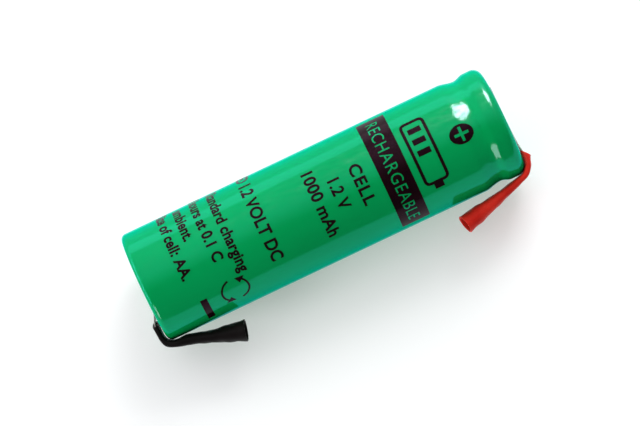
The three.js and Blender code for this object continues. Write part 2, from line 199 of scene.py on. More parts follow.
# ---- Mesh helpers ---------------------------------------------------------------------------

def spread(first, last, steps):
    """Evenly spaced values from the first to the last."""
    return [first + (last - first) * i / steps for i in range(steps + 1)]


def round_angles(count):
    """Evenly spaced angles round a full turn, in radians."""
    return [2 * pi * k / count for k in range(count)]


def block(left, right, low, high):
    """Corners of a rectangle, once round from the low left."""
    return [(left, low), (right, low), (right, high), (left, high)]


def ripple(waves, angle, level=0):
    """Sum of the waves at an angle and a level."""
    return sum(height * sin(count * angle + turn * level + phase)
               for height, count, turn, phase in waves)


def dents(waves, angle, level=0):
    """The same sum, raised by the waves' heights so that it is never below zero."""
    return ripple(waves, angle, level) + sum(wave[0] for wave in waves)


def solid(name, mesh, sharp=SHARP_ANGLE):
    """Object made from a bmesh, with merged points, outward faces and smooth shading.

    Edges that turn by more than sharp, in degrees, stay sharp.
    """
    bmesh.ops.remove_doubles(mesh, verts=mesh.verts, dist=MERGE_DISTANCE * MM)
    loose = [edge for edge in mesh.edges if not edge.link_faces]
    bmesh.ops.delete(mesh, geom=loose, context="EDGES")
    bmesh.ops.recalc_face_normals(mesh, faces=mesh.faces)
    data = bpy.data.meshes.new(name)
    mesh.to_mesh(data)
    mesh.free()
    data.polygons.foreach_set("use_smooth", [True] * len(data.polygons))
    data.set_sharp_from_angle(angle=radians(sharp))
    piece = bpy.data.objects.new(name, data)
    bpy.context.scene.collection.objects.link(piece)
    return piece


def stitch(mesh, rings, ends=False):
    """Faces between successive closed rings of points, and over the first and last if asked."""
    for ring, following in zip(rings, rings[1:]):
        for i in range(len(ring)):
            j = (i + 1) % len(ring)
            mesh.faces.new((ring[i], ring[j], following[j], following[i]))
    if ends:
        mesh.faces.new(rings[0])
        mesh.faces.new(rings[-1])


def turned(name, outline, warp=None):
    """Solid of revolution about the cell's axis from a loop of (radius, level) points."""
    mesh = bmesh.new()
    rings = []
    for angle in round_angles(ROUND_SIDES):
        ring = []
        for radius, level in outline:
            if warp:
                radius, level = warp(radius, level, angle)
            ring.append(mesh.verts.new(place(level, radius * cos(angle), radius * sin(angle))))
        rings.append(ring)
    stitch(mesh, rings + rings[:1])
    return solid(name, mesh)


def rounded(corners, ease, steps=4):
    """Outline whose corners are eased by short curves; corners on the axis stay as they are."""
    points = []
    for i, corner in enumerate(corners):
        if corner[0] == 0:
            points.append(corner)
            continue
        here = Vector(corner)
        arms = []
        for other in (corners[i - 1], corners[(i + 1) % len(corners)]):
            arm = Vector(other) - here
            arms.append(here + arm * min(MOST_OF_SIDE, ease / arm.length))
        for t in spread(0, 1, steps):
            eased = arms[0] * (1 - t) ** 2 + here * 2 * t * (1 - t) + arms[1] * t ** 2
            points.append(tuple(eased))
    return points


def polar(x, y, radius, angle):
    """Point at a radius and an angle, in degrees, from a middle."""
    return x + radius * cos(radians(angle)), y + radius * sin(radians(angle))


def arc(x, y, radius, start, end, steps):
    """Points of an arc about a middle, with angles in degrees."""
    return [polar(x, y, radius, angle) for angle in spread(start, end, steps)]


def cut(piece, *cutters):
    """Takes the cutters' shapes out of a piece, and removes the cutters."""
    for cutter in cutters:
        knife = piece.modifiers.new("cut", "BOOLEAN")
        knife.object = cutter
        knife.solver = "EXACT"
    graph = bpy.context.evaluated_depsgraph_get()
    data = bpy.data.meshes.new_from_object(piece.evaluated_get(graph))
    piece.modifiers.clear()
    piece.data = data
    for cutter in cutters:
        bpy.data.objects.remove(cutter)
    return piece


def show_gloss(piece, *groups):
    """Puts a piece in the groups that some softboxes are limited to."""
    for group in groups:
        bpy.data.collections[group].objects.link(piece)


# ---- Shrunk film, can, washer and cap -------------------------------------------------------

def bead_dip(level, depth):
    """Depth at a level of the round groove that the can's bead makes."""
    reach = BEAD_BELOW if level < BEAD_LEVEL else BEAD_ABOVE
    offset = (level - BEAD_LEVEL) / reach
    if abs(offset) >= 1:
        return 0
    return depth * (1 + cos(pi * offset)) / 2


def beaded_wall(radius, depth):
    """Stretch of wall of a given radius with the bead's groove."""
    levels = spread(BEAD_LEVEL - BEAD_BELOW, BEAD_LEVEL + BEAD_ABOVE, BEAD_STEPS)
    return [(radius - bead_dip(level, depth), level) for level in levels]


def film_sag(level, angle):
    """How far the film lies under its nominal surface: slow waves, and puckers by the bead."""
    near_bead = exp(-((level - BEAD_WAVES_LEVEL) / BEAD_WAVES_REACH) ** 2)
    return dents(SLOW_WAVES, angle, level) + near_bead * dents(BEAD_WAVES, angle, level)


def film_radius(level, angle):
    """Radius of the film's outer surface on the cell's straight side."""
    return RADIUS - bead_dip(level, DIP_DEPTH) - film_sag(level, angle)


def film_warp(radius, level, angle):
    """Moves a point of the film's outline to where the shrunk film really lies."""
    top = level > LENGTH / 2
    lip = TOP_LIP_RADIUS if top else BOTTOM_LIP_RADIUS
    edge = RADIUS - (TOP_CORNER if top else BOTTOM_CORNER)
    inward = min(max((edge - radius) / (edge - lip), 0), 1)
    radius += ripple(LIP_WAVES, angle) * inward
    level -= (1 if top else -1) * dents(LIP_PUCKERS, angle) * inward
    return radius - film_sag(level, angle) * (1 - inward), level


def film_surface(depth):
    """Film's outline from lip to lip, at a depth under its outer surface."""
    low_edge = RADIUS - BOTTOM_CORNER
    high_edge = RADIUS - TOP_CORNER
    outline = [(radius, depth) for radius in spread(BOTTOM_LIP_RADIUS, low_edge, 5)[:-1]]
    outline += arc(low_edge, BOTTOM_CORNER, BOTTOM_CORNER - depth, -90, 0, 8)
    outline += [(RADIUS - depth, level) for level in range(2, floor(BEAD_LEVEL - BEAD_BELOW))]
    outline += beaded_wall(RADIUS - depth, DIP_DEPTH)
    outline += arc(high_edge, LENGTH - TOP_CORNER, TOP_CORNER - depth, 0, 90, 12)
    outline += [(radius, LENGTH - depth) for radius in spread(high_edge, TOP_LIP_RADIUS, 4)[1:]]
    return outline


def shrunk_film():
    """Film shrunk over both corners of the can, with wavy lips."""
    outline = film_surface(0) + film_surface(FILM_WALL)[::-1]
    film = turned("shrunk_film", outline, film_warp)
    show_gloss(film, "film", "coated")
    dress(film, "cell", "shrink_film", "heat_shrink_sleeve")


def drawn_can():
    """Can with its bead, and its mouth crimped inwards."""
    bottom, top = node_levels("steel_can")

    def surface(wall_depth, floor_depth):
        """Outline from the floor's middle to the mouth, at depths under the outside."""
        floor_level = bottom + floor_depth
        corner = CAN_BOTTOM_CORNER - wall_depth
        outline = [(0, floor_level)]
        outline += arc(CAN_RADIUS - CAN_BOTTOM_CORNER, floor_level + corner, corner, -90, 0, 6)
        outline += beaded_wall(CAN_RADIUS - wall_depth, CAN_BEAD_DEPTH)
        outline += arc(CAN_RADIUS - CAN_TOP_CORNER, top - CAN_TOP_CORNER,
                       CAN_TOP_CORNER - wall_depth, 0, 90, 8)
        outline.append((CRIMP_LIP_RADIUS, top - wall_depth))
        return outline

    can = turned("drawn_can", surface(0, 0) + surface(CAN_WALL, CAN_FLOOR)[::-1])
    dress(can, "cell", "plated_steel", "steel_can")


def fibre_washer():
    """Ring between the film's upper lip and the positive strip."""
    section = block(WASHER_HOLE, WASHER_RADIUS, *node_levels("insulating_washer"))
    washer = turned("fibre_washer", rounded(section, CARD_EASE))
    dress(washer, "cell", "white_fibre", "insulating_washer")


def gas_hole(bearing, near, far, level):
    """Cutter for one round hole through the cap's side."""
    mesh = bmesh.new()
    rings = []
    for reach in (near, far):
        ring = []
        for turn in round_angles(CAP_HOLE_SIDES):
            side = CAP_HOLE_RADIUS * cos(turn)
            rise = CAP_HOLE_RADIUS * sin(turn)
            ring.append(mesh.verts.new(place(level + rise,
                                             reach * cos(bearing) - side * sin(bearing),
                                             reach * sin(bearing) + side * cos(bearing))))
        rings.append(ring)
    stitch(mesh, rings, ends=True)
    return solid("hole", mesh)


def contact_cap():
    """Hat-shaped cap with gas holes at the foot of its side."""
    bottom, top = node_levels("positive_cap")
    inside = CAP_HAT_RADIUS - CAP_SHEET
    brim_top = bottom + CAP_BRIM_THICKNESS
    corners = [(0, top - CAP_SHEET), (inside, top - CAP_SHEET), (inside, bottom),
               (CAP_BRIM_RADIUS, bottom), (CAP_BRIM_RADIUS, brim_top), (CAP_HAT_RADIUS, brim_top),
               (CAP_HAT_RADIUS, top), (0, top)]
    cap = turned("contact_cap", rounded(corners, CAP_EASE, 5))
    holes = [gas_hole(bearing, inside - CUT_MARGIN, CAP_HAT_RADIUS + CUT_MARGIN,
                      brim_top + CAP_HOLE_RADIUS)
             for bearing in round_angles(CAP_HOLES)]
    dress(cut(cap, *holes), "cell", "plated_steel", "positive_cap")


# ---- Closure and wound roll, hidden in the can ----------------------------------------------

def nylon_gasket():
    """Ring of C section round the lid's rim, under the crimp."""
    bottom, top = node_levels("seal_gasket")
    corner = CAN_TOP_CORNER - CAN_WALL - PIECE_GAP
    centre = (GASKET_RADIUS - corner, top - corner)
    outline = [(GASKET_BOTTOM_LIP, bottom), (GASKET_RADIUS, bottom)]
    outline += arc(*centre, corner, 0, 90, 5)
    outline += [(GASKET_TOP_LIP, top), (GASKET_TOP_LIP, top - GASKET_WALL)]
    outline += arc(*centre, corner - GASKET_WALL, 90, 0, 4)
    outline += [(GASKET_RADIUS - GASKET_WALL, bottom + GASKET_WALL),
                (GASKET_BOTTOM_LIP, bottom + GASKET_WALL)]
    gasket = turned("nylon_gasket", rounded(outline, GASKET_EASE, 2))
    dress(gasket, "cell", "nylon", "seal_gasket")


def dished_lid():
    """Pressed plate whose dish holds the vent hole."""
    underside, top = node_levels("lid_plate")
    floor_level = top - DISH_DEPTH
    slope = LID_THICKNESS / 2
    rim_low = top - LID_THICKNESS
    corners = [(VENT_HOLE_RADIUS, underside), (DISH_RADIUS + slope, underside),
               (DISH_RADIUS + LID_THICKNESS, rim_low), (LID_RADIUS, rim_low), (LID_RADIUS, top),
               (DISH_RADIUS, top), (DISH_RADIUS - slope, floor_level),
               (VENT_HOLE_RADIUS, floor_level)]
    lid = turned("dished_lid", rounded(corners, LID_EASE))
    dress(lid, "cell", "plated_steel", "lid_plate")


def rubber_plug():
    """Plug that reseals the vent hole; it moves with the vent."""
    section = block(0, PLUG_RADIUS, *node_levels("vent_plug"))
    plug = turned("rubber_plug", rounded(section, PLUG_EASE))
    dress(plug, "vent", "vent_rubber", "vent_plug")


# Wound sheets from the innermost outwards: name, CAD node, slot and thickness.
ROLL_SHEETS = (("first_felt", "inner_separator", "separator_felt", 0.12),
               ("hydroxide_sheet", "positive_electrode", "hydroxide_electrode", 0.55),
               ("second_felt", "outer_separator", "separator_felt", 0.12),
               ("alloy_sheet", "negative_electrode", "alloy_electrode", 0.3))


def wound_roll():
    """Four sheets wound together outwards round the axis, with eased edges."""
    pitch = sum(thickness + PIECE_GAP for _, _, _, thickness in ROLL_SHEETS)
    inner = ROLL_CORE_RADIUS
    for name, node, slot_name, thickness in ROLL_SHEETS:
        outer = inner + thickness
        section = rounded(block(inner, outer, *node_levels(node)), CARD_EASE, 2)
        mesh = bmesh.new()
        rings = []
        for step in range(round(ROLL_TURNS * ROLL_STEPS) + 1):
            turns = step / ROLL_STEPS
            angle = 2 * pi * turns - pi / 2
            ring = []
            for radius, level in section:
                reach = radius + pitch * turns
                ring.append(mesh.verts.new(upright(level, reach * cos(angle), reach * sin(angle))))
            rings.append(ring)
        stitch(mesh, rings, ends=True)
        dress(solid(name, mesh), "cell", slot_name, node)
        inner = outer + PIECE_GAP


def bar(name, outline, width):
    """Straight bar over the width, from a loop of (y, level) points."""
    mesh = bmesh.new()
    rings = [[mesh.verts.new(upright(level, y, z)) for y, level in outline]
             for z in (-width / 2, width / 2)]
    stitch(mesh, rings, ends=True)
    return solid(name, mesh)


def insulator_cards():
    """Card rings at the roll's two ends; the upper has a slot for the lead."""
    for name, node in (("lower_card", "bottom_insulator_disc"),
                       ("upper_card", "top_insulator_disc")):
        low, high = node_levels(node)
        card = turned(name, rounded(block(CARD_HOLE, CARD_RADIUS, low, high), CARD_EASE))
        if name == "upper_card":
            reach = STRIP_THICKNESS / 2 + SLOT_MARGIN
            opening = block(LEAD_REACH - reach, LEAD_REACH + reach, low - CUT_MARGIN,
                            high + CUT_MARGIN)
            card = cut(card, bar("slot", opening, LEAD_WIDTH + 2 * SLOT_MARGIN))
        dress(card, "cell", "insulator_card", node)


def collector_ribbon():
    """Lead from the roll's upper edge, through the card and across under the lid's dish."""
    foot, top = node_levels("positive_collector_lead")
    half = STRIP_THICKNESS / 2
    weld = top - STRIP_THICKNESS
    shoulder = top - LEAD_RISE
    corners = [(LEAD_REACH - half, foot), (LEAD_REACH + half, foot),
               (LEAD_REACH + half, shoulder + half), (LEAD_WELD_REACH + half, top),
               (-LEAD_WELD_REACH, top), (-LEAD_WELD_REACH, weld), (LEAD_WELD_REACH, weld),
               (LEAD_REACH - half, shoulder)]
    ribbon = bar("collector_ribbon", rounded(corners, LEAD_BEND, 6), LEAD_WIDTH)
    dress(ribbon, "cell", "nickel_strip", "positive_collector_lead")


# ---- Tags -----------------------------------------------------------------------------------

class Tag:
    """One end's tag: where its end plane is, and the stations that its strip and tube go through.

    A strip's station is (out, lift), and a tube's is (out, lift, thickness, width, power), where
    lift is the height above the end plane and power the section's superellipse: 2 is an ellipse.
    Side is 1 at the positive end and -1 at the other. Splay is the leg's angle from the cell's
    side, in degrees, and is not used. Each slope slants one mouth of the tube, through its
    thickness and its width.
    """

    def __init__(self, name, slot_name, side, splay, strip, tube, start_slope, mouth_slope):
        self.name = name
        self.slot = slot_name
        self.side = side
        self.splay = radians(splay)
        self.strip = strip
        self.tube = tube
        self.start_slope = start_slope
        self.mouth_slope = mouth_slope

    def point(self, out, lift, across):
        """World position of a point beside this end's plane."""
        level = LENGTH + lift if self.side > 0 else -lift
        return place(level, out, across)

    def blend(self, piece):
        """Bakes a piece's placement into its mesh."""
        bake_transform(piece)


POSITIVE_TAG = Tag(
    "positive_tag", "red_tubing", side=1, splay=14,
    strip=[(-4.2, 0.20), (-1.0, 0.21), (2.2, 0.24), (3.7, 0.34), (4.95, 0.5), (5.85, 0.53),
           (6.61, 0.29), (7.42, -0.44), (7.78, -1.5), (8.25, -3.17), (8.72, -4.95), (9.2, -7.0)],
    tube=[(4.93, 0.74, 1.3, 4.2, 2.6), (5.85, 0.53, 0.88, 4.6, 5.0), (6.61, 0.29, 0.77, 4.7, 6.0),
          (7.42, -0.44, 0.73, 4.7, 6.0), (7.78, -1.5, 0.9, 4.7, 5.0), (8.25, -3.17, 1.13, 4.6, 4.0),
          (8.72, -4.95, 1.45, 4.5, 3.2), (9.35, -7.7, 2.1, 4.2, 2.5), (9.82, -9.75, 2.4, 4.0, 2.2)],
    start_slope=(0.7, 0.0), mouth_slope=(0.0, 0.1),
)
NEGATIVE_TAG = Tag(
    "negative_tag", "black_tubing", side=-1, splay=15,
    strip=[(-4.2, -0.075), (-1.0, -0.075), (2.2, -0.06), (3.4, 0.24), (4.5, 0.67), (5.6, 0.67),
           (6.6, 0.59), (7.36, 0.2), (7.77, -0.75), (8.03, -2.4), (8.76, -4.63), (9.15, -6.0)],
    tube=[(4.55, 0.74, 0.78, 4.5, 4.0), (5.6, 0.68, 0.7, 4.7, 6.0), (6.6, 0.6, 0.7, 4.7, 6.0),
          (7.34, 0.18, 0.86, 4.7, 6.0), (7.77, -0.75, 0.97, 4.7, 5.0), (8.03, -2.4, 1.37, 4.6, 4.0),
          (8.76, -4.63, 1.5, 4.5, 3.2), (9.22, -6.2, 1.95, 4.3, 2.6),
          (10.02, -9.15, 2.75, 4.0, 2.2)],
    start_slope=(0.1, 0.12), mouth_slope=(0.0, 0.06),
)


def spline(stations, steps):
    """Smooth run through the stations: each value follows a Catmull-Rom curve."""
    rows = [Vector(station) for station in stations]
    first = rows[0] * 2 - rows[1]
    last = rows[-1] * 2 - rows[-2]
    padded = [first] + rows + [last]
    samples = []
    for a, b, c, d in zip(padded, padded[1:], padded[2:], padded[3:]):
        for i in range(steps):
            t = i / steps
            samples.append(0.5 * (2 * b + (c - a) * t + (2 * a - 5 * b + 4 * c - d) * t ** 2
                                  + (3 * b - 3 * c + d - a) * t ** 3))
    return samples + [rows[-1]]


def headings(samples):
    """Unit tangent of the run at each sample, in the (out, lift) plane."""
    tangents = []
    last = len(samples) - 1
    for i in range(len(samples)):
        ahead = samples[min(i + 1, last)]
        behind = samples[max(i - 1, 0)]
        tangents.append(Vector((ahead[0] - behind[0], ahead[1] - behind[1])).normalized())
    return tangents


def run_lengths(samples):
    """Length along the run up to each sample."""
    lengths = [0.0]
    for a, b in zip(samples, samples[1:]):
        lengths.append(lengths[-1] + ((b[0] - a[0]) ** 2 + (b[1] - a[1]) ** 2) ** 0.5)
    return lengths


def signed_power(value, exponent):
    """Power of a value's size, with the value's sign."""
    return abs(value) ** exponent * (1 if value >= 0 else -1)


def tube_section(width, thickness, power):
    """Points (across, through) of a superellipse with a faint crease at its two edges."""
    points = []
    for angle in round_angles(TUBE_SIDES):
        across = signed_power(cos(angle), 2 / power) * width / 2
        through = signed_power(sin(angle), 2 / power) * thickness / 2
        crease = 1 + TUBE_CREASE * exp(-(sin(angle) / TUBE_CREASE_SPAN) ** 2)
        points.append((across * crease, through))
    return points


def tag_tube(tag):
    """Soft tube over the strip: pressed flat round the fold and open at both mouths."""
    samples = spline(tag.tube, TUBE_STEPS)
    tangents = headings(samples)
    lengths = run_lengths(samples)
    last = len(samples) - 1
    mesh = bmesh.new()

    def ring(i, inset, forward=0):
        """Points round the tube at a sample, inset from its outside and moved along the run."""
        out, lift, thickness, width, power = samples[i]
        tangent = tangents[i]
        normal = Vector((-tangent[1], tangent[0]))
        near_start = max(0, 1 - lengths[i] / START_FADE) ** 2
        near_mouth = max(0, 1 - (lengths[last] - lengths[i]) / MOUTH_FADE) ** 2
        points = []
        section = tube_section(width - 2 * inset, thickness - 2 * inset, power)
        for angle, (across, through) in zip(round_angles(TUBE_SIDES), section):
            through *= 1 + ripple(TUBE_WAVES, angle, lengths[i])
            shift = near_start * (tag.start_slope[0] * through + tag.start_slope[1] * across)
            shift -= near_mouth * (tag.mouth_slope[0] * through + tag.mouth_slope[1] * across)
            position = Vector((out, lift)) + normal * through + tangent * (shift + forward)
            points.append(mesh.verts.new(tag.point(position[0], position[1], across)))
        return points

    def wall(inset):
        """Rings from start to mouth; the two end rings stand back, for the eased edges."""
        return ([ring(0, inset, TUBE_EASE)] + [ring(i, inset) for i in range(1, last)]
                + [ring(last, inset, -TUBE_EASE)])

    outer = wall(0)
    inner = wall(TUBE_WALL)
    mouth = [ring(last, TUBE_EASE), ring(last, TUBE_WALL - TUBE_EASE)]
    start = [ring(0, TUBE_WALL - TUBE_EASE), ring(0, TUBE_EASE)]
    stitch(mesh, outer + mouth + inner[::-1] + start + outer[:1])
    tube = solid(tag.name + "_tube", mesh, sharp=SOFT_SHARP_ANGLE)
    finish_with(tube, tag.slot)
    tag.blend(tube)
    return tube


def weld_dent(out, across):
    """Depth of the spot welds' dents at a place on the strip."""
    depth = 0
    for weld_out, weld_across in WELDS:
        distance = ((out - weld_out) ** 2 + (across - weld_across) ** 2) ** 0.5
        depth += WELD_DEPTH * exp(-(distance / WELD_RADIUS) ** 4)
    return depth


def strip_section():
    """Points (across, through) round the strip's thin section, with rounded edges."""
    half = STRIP_THICKNESS / 2
    flat = STRIP_WIDTH / 2 - half
    top = [(across, half) for across in spread(-flat, flat, STRIP_COLUMNS)]
    right = [(flat + half * cos(a), half * sin(a)) for a in (pi / 4, 0, -pi / 4)]
    bottom = [(-across, -through) for across, through in top]
    left = [(-across, -through) for across, through in right]
    return top + right + bottom + left


def tag_strip(tag):
    """Nickel strip from its far end on the cell, over the spot welds and round the fold."""
    samples = spline(tag.strip, STRIP_STEPS)
    tangents = headings(samples)
    section = strip_section()
    mesh = bmesh.new()
    rings = []
    for sample, tangent in zip(samples, tangents):
        normal = Vector((-tangent[1], tangent[0]))
        ring = []
        for across, through in section:
            dent = weld_dent(sample[0], across) * (1 if through > 0 else WELD_SHARE_BELOW)
            position = Vector(sample) + normal * (through - dent)
            ring.append(mesh.verts.new(tag.point(position[0], position[1], across)))
        rings.append(ring)
    stitch(mesh, rings, ends=True)
    strip = solid(tag.name + "_strip", mesh)
    finish_with(strip, "nickel_strip")
    tag.blend(strip)
    return strip


def add_tag(tag):
    """Strip and tube of a tag, each standing for the two CAD nodes that its fold splits."""
    end = tag.name.split("_")[0]
    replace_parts(tag_strip(tag), end + "_tag_pad", end + "_tag_leg")
    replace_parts(tag_tube(tag), end + "_sleeve_heel", end + "_tag_sleeve")


# ---- Print on the film ----------------------------------------------------------------------
# Print is laid out flat, in millimetres: x runs round the film towards the tags from the line that
# faces straight across them, and y along the axis from the cell's middle to its positive end.

def round_film(out):
    """Distance round the film of a place whose distance towards the tags is out."""
    return RADIUS * asin(out / RADIUS)


def slab(outline):
    """Flat printed shape from its outline, as a closed bmesh."""
    mesh = bmesh.new()
    low = [mesh.verts.new((x, y, 0)) for x, y in outline]
    high = [mesh.verts.new((x, y, INK_THICKNESS)) for x, y in outline]
    stitch(mesh, [low, high], ends=True)
    return mesh


def stroke(path, width, closed=False):
    """Printed line of a given width along a path."""
    mesh = bmesh.new()
    points = [Vector(p) for p in path]
    rings = []
    for i, here in enumerate(points):
        before = points[i - 1] if closed or i > 0 else here
        after = points[(i + 1) % len(points)] if closed or i < len(points) - 1 else here
        tangent = (after - before).normalized()
        side = Vector((-tangent[1], tangent[0])) * width / 2
        corners = [(*(here + side), 0), (*(here - side), 0),
                   (*(here - side), INK_THICKNESS), (*(here + side), INK_THICKNESS)]
        rings.append([mesh.verts.new(corner) for corner in corners])
    stitch(mesh, rings + rings[:1] if closed else rings, ends=not closed)
    return mesh


def ellipse(x, y, width, height, steps=64):
    """Outline of an ellipse about a middle."""
    return [(x + width / 2 * cos(angle), y + height / 2 * sin(angle))
            for angle in round_angles(steps)]


def box_outline(x, y, width, height):
    """Outline of a rectangle about a middle."""
    return block(x - width / 2, x + width / 2, y - height / 2, y + height / 2)


def words(text, x, y, size, weight, condense=0.9, align="CENTER", spacing=1.04):
    """Lettering as a closed bmesh; y is the middle of its capitals."""
    curve = bpy.data.curves.new("words", "FONT")
    curve.body = text
    curve.size = size
    curve.offset = weight
    curve.extrude = INK_THICKNESS / 2
    curve.resolution_u = 5
    curve.align_x = align
    curve.space_character = spacing
    holder = bpy.data.objects.new("words", curve)
    bpy.context.scene.collection.objects.link(holder)
    graph = bpy.context.evaluated_depsgraph_get()
    data = bpy.data.meshes.new_from_object(holder.evaluated_get(graph))
    bpy.data.objects.remove(holder)
    mesh = bmesh.new()
    mesh.from_mesh(data)
    bmesh.ops.remove_doubles(mesh, verts=mesh.verts, dist=FONT_MERGE_DISTANCE)
    for vert in mesh.verts:
        vert.co = (vert.co.x * condense + x, vert.co.y - CAPITAL_MIDDLE * size + y,
                   vert.co.z + INK_THICKNESS / 2)
    return mesh


def joined(shapes):
    """One bmesh out of several."""
    whole = bmesh.new()
    for shape in shapes:
        data = bpy.data.meshes.new("shape")
        shape.to_mesh(data)
        shape.free()
        whole.from_mesh(data)
        bpy.data.meshes.remove(data)
    return whole


def slice_every(mesh, direction, spacing):
    """Cuts the faces of a mesh by evenly spaced planes, so that it can be wrapped."""
    reach = [vert.co.dot(direction) for vert in mesh.verts]
    for k in range(ceil(min(reach) / spacing), floor(max(reach) / spacing) + 1):
        geometry = mesh.verts[:] + mesh.edges[:] + mesh.faces[:]
        bmesh.ops.bisect_plane(mesh, geom=geometry, plane_co=direction * k * spacing,
                               plane_no=direction)


def printed(name, mesh):
    """Wraps a flat printed shape round the film."""
    slice_every(mesh, Vector((1, 0, 0)), PRINT_STEP)
    slice_every(mesh, Vector((0, 1, 0)), PRINT_STEP)
    for vert in mesh.verts:
        turn = vert.co.x / RADIUS
        level = vert.co.y + LENGTH / 2
        radius = film_radius(level, pi / 2 - turn) + INK_LIFT + vert.co.z
        vert.co = place(level, radius * sin(turn), radius * cos(turn))
    print_piece = solid(name, mesh, sharp=SOFT_SHARP_ANGLE)
    show_gloss(print_piece, "print", "coated")
    dress(print_piece, "cell", "print_ink")


def flat_piece(mesh):
    """Temporary object of a flat shape, for cutting one shape out of another."""
    bmesh.ops.recalc_face_normals(mesh, faces=mesh.faces)
    data = bpy.data.meshes.new("flat")
    mesh.to_mesh(data)
    mesh.free()
    piece = bpy.data.objects.new("flat", data)
    bpy.context.scene.collection.objects.link(piece)
    return piece


def knocked_out(ground, figure):
    """Ground shape with the figure's shape left open in it."""
    for vert in figure.verts:
        vert.co.z = (vert.co.z - INK_THICKNESS / 2) * KNOCKOUT_STRETCH + INK_THICKNESS / 2
    carved = cut(flat_piece(ground), flat_piece(figure))
    mesh = bmesh.new()
    mesh.from_mesh(carved.data)
    bpy.data.objects.remove(carved)
    return mesh


# Print: the band's ends along the axis and round the film, then sizes and weights of type.
BAND_LEVELS = (7.6, 11.3)
BAND_ANGLES = (-71, 69)
BAND_WORD_SIZE = 2.25
RATING_SIZE = 2.15
RATING_WEIGHT = 0.06
VOLTAGE_SIZE = 2.2
NOTE_SIZE = 1.95
NOTE_WEIGHT = 0.065
# Small lines: words, how far towards the tags each ends, and its y.
NOTES = (("Standard charging", 3.2, -12.05), ("16 hours at 0.1 C", 0.8, -14.4),
         ("ambient.", -3.0, -16.6), ("Size of cell: AA.", 1.3, -18.8))


def print_band():
    """Dark band round the cell with its word left open in it."""
    left, right = [RADIUS * radians(angle) for angle in BAND_ANGLES]
    ground = slab(block(left, right, *BAND_LEVELS))
    word = words("RECHARGEABLE", (left + right) / 2, sum(BAND_LEVELS) / 2, BAND_WORD_SIZE,
                 weight=0.0, condense=0.88, spacing=1.12)
    printed("band_print", knocked_out(ground, word))


def print_rating():
    """Three lines beside the band."""
    lines = [words("CELL", -0.2, 5.3, RATING_SIZE, RATING_WEIGHT, condense=1.05, spacing=1.15),
             words("1.2 V", -0.5, 2.3, RATING_SIZE, RATING_WEIGHT),
             words("1000 mAh", -0.3, -0.3, RATING_SIZE, RATING_WEIGHT, condense=1.0)]
    printed("rating_print", joined(lines))


def print_notes():
    """Small lines that start round the back of the cell."""
    lines = [words("RATED 1.2 VOLT DC", round_film(3.8), -7.8, VOLTAGE_SIZE, NOTE_WEIGHT,
                   align="RIGHT")]
    for note, end, y in NOTES:
        lines.append(words(note, round_film(end), y, NOTE_SIZE, NOTE_WEIGHT, align="RIGHT"))
    printed("notes_print", joined(lines))


def print_polarity():
    """Plus left open in an oval by the positive end, and a minus bar by the negative end."""
    x, y = -0.5, 18.8
    reach, half = 0.925, 0.18
    plus = [(half, half), (half, reach), (-half, reach), (-half, half), (-reach, half),
            (-reach, -half), (-half, -half), (-half, -reach), (half, -reach), (half, -half),
            (reach, -half), (reach, half)]
    cross = slab([(x + px, y + py) for px, py in plus])
    oval = slab(ellipse(x, y, width=2.5, height=3.1))
    printed("plus_print", knocked_out(oval, cross))
    low, high = round_film(4.3), round_film(6.7)
    minus = box_outline((low + high) / 2, -18.3, width=high - low, height=0.9)
    printed("minus_print", slab(minus))


def print_charge_mark():
    """Plain picture of a battery with three charge bars."""
    x, y, length, height = -0.6, 13.8, 8.4, 2.9
    case = rounded(box_outline(x, y, length, height), ease=0.6)
    shapes = [stroke(case, width=0.4, closed=True)]
    nub_x = x + length / 2 + 0.55
    shapes.append(stroke([(nub_x, y - 0.6), (nub_x, y + 0.6)], width=0.8))
    for step in (1.3, 2.8, 4.3):
        bar_x = x - length / 2 + step
        shapes.append(stroke([(bar_x, y - 0.85), (bar_x, y + 0.85)], width=0.75))
    printed("charge_print", joined(shapes))


def print_loop_mark():
    """Plain ring of two arrows."""
    x, y, radius, barb = round_film(4.9), -14.2, 1.75, 0.55
    shapes = []
    for start in (0, 180):
        shapes.append(stroke(arc(x, y, radius, start + 15, start + 135, 20), width=0.26))
        tip = polar(x, y, radius, start + 165)
        feet = [polar(x, y, radius + side, start + 133) for side in (barb, -barb)]
        shapes.append(slab([tip] + feet))
    printed("loop_print", joined(shapes))


# ---- Materials ------------------------------------------------------------------------------

class Finish:
    """Procedural material: two shades mixed by noise, with roughness and bump from noise too.

    Patch and grain are the two noises' scales per millimetre, and bump is in millimetres. Wear is
    the colour of worn edges, and varnish a clear skin's colours, seen straight on and aslant.
    """

    def __init__(self, shades, roughness, metallic=0.0, patch=0.25, grain=2.0, stretch=(1, 1, 1),
                 bump=0.004, tint=(1, 1, 1, 1), specular=0.5, anisotropic=0.0, wear=None,
                 varnish=None):
        self.shades = shades
        self.roughness = roughness
        self.metallic = metallic
        self.patch = patch
        self.grain = grain
        self.stretch = stretch
        self.bump = bump
        self.tint = tint
        self.specular = specular
        self.anisotropic = anisotropic
        self.wear = wear
        self.varnish = varnish


PLASTIC_IOR = 1.48
VARNISH_IOR = 1.6
PATCH_DETAIL = 3
GRAIN_DETAIL = 6
NOISE_RANGE = (0.3, 0.7)
WEAR_RANGE = (0.53, 0.6)
WEAR_MOST = 0.8
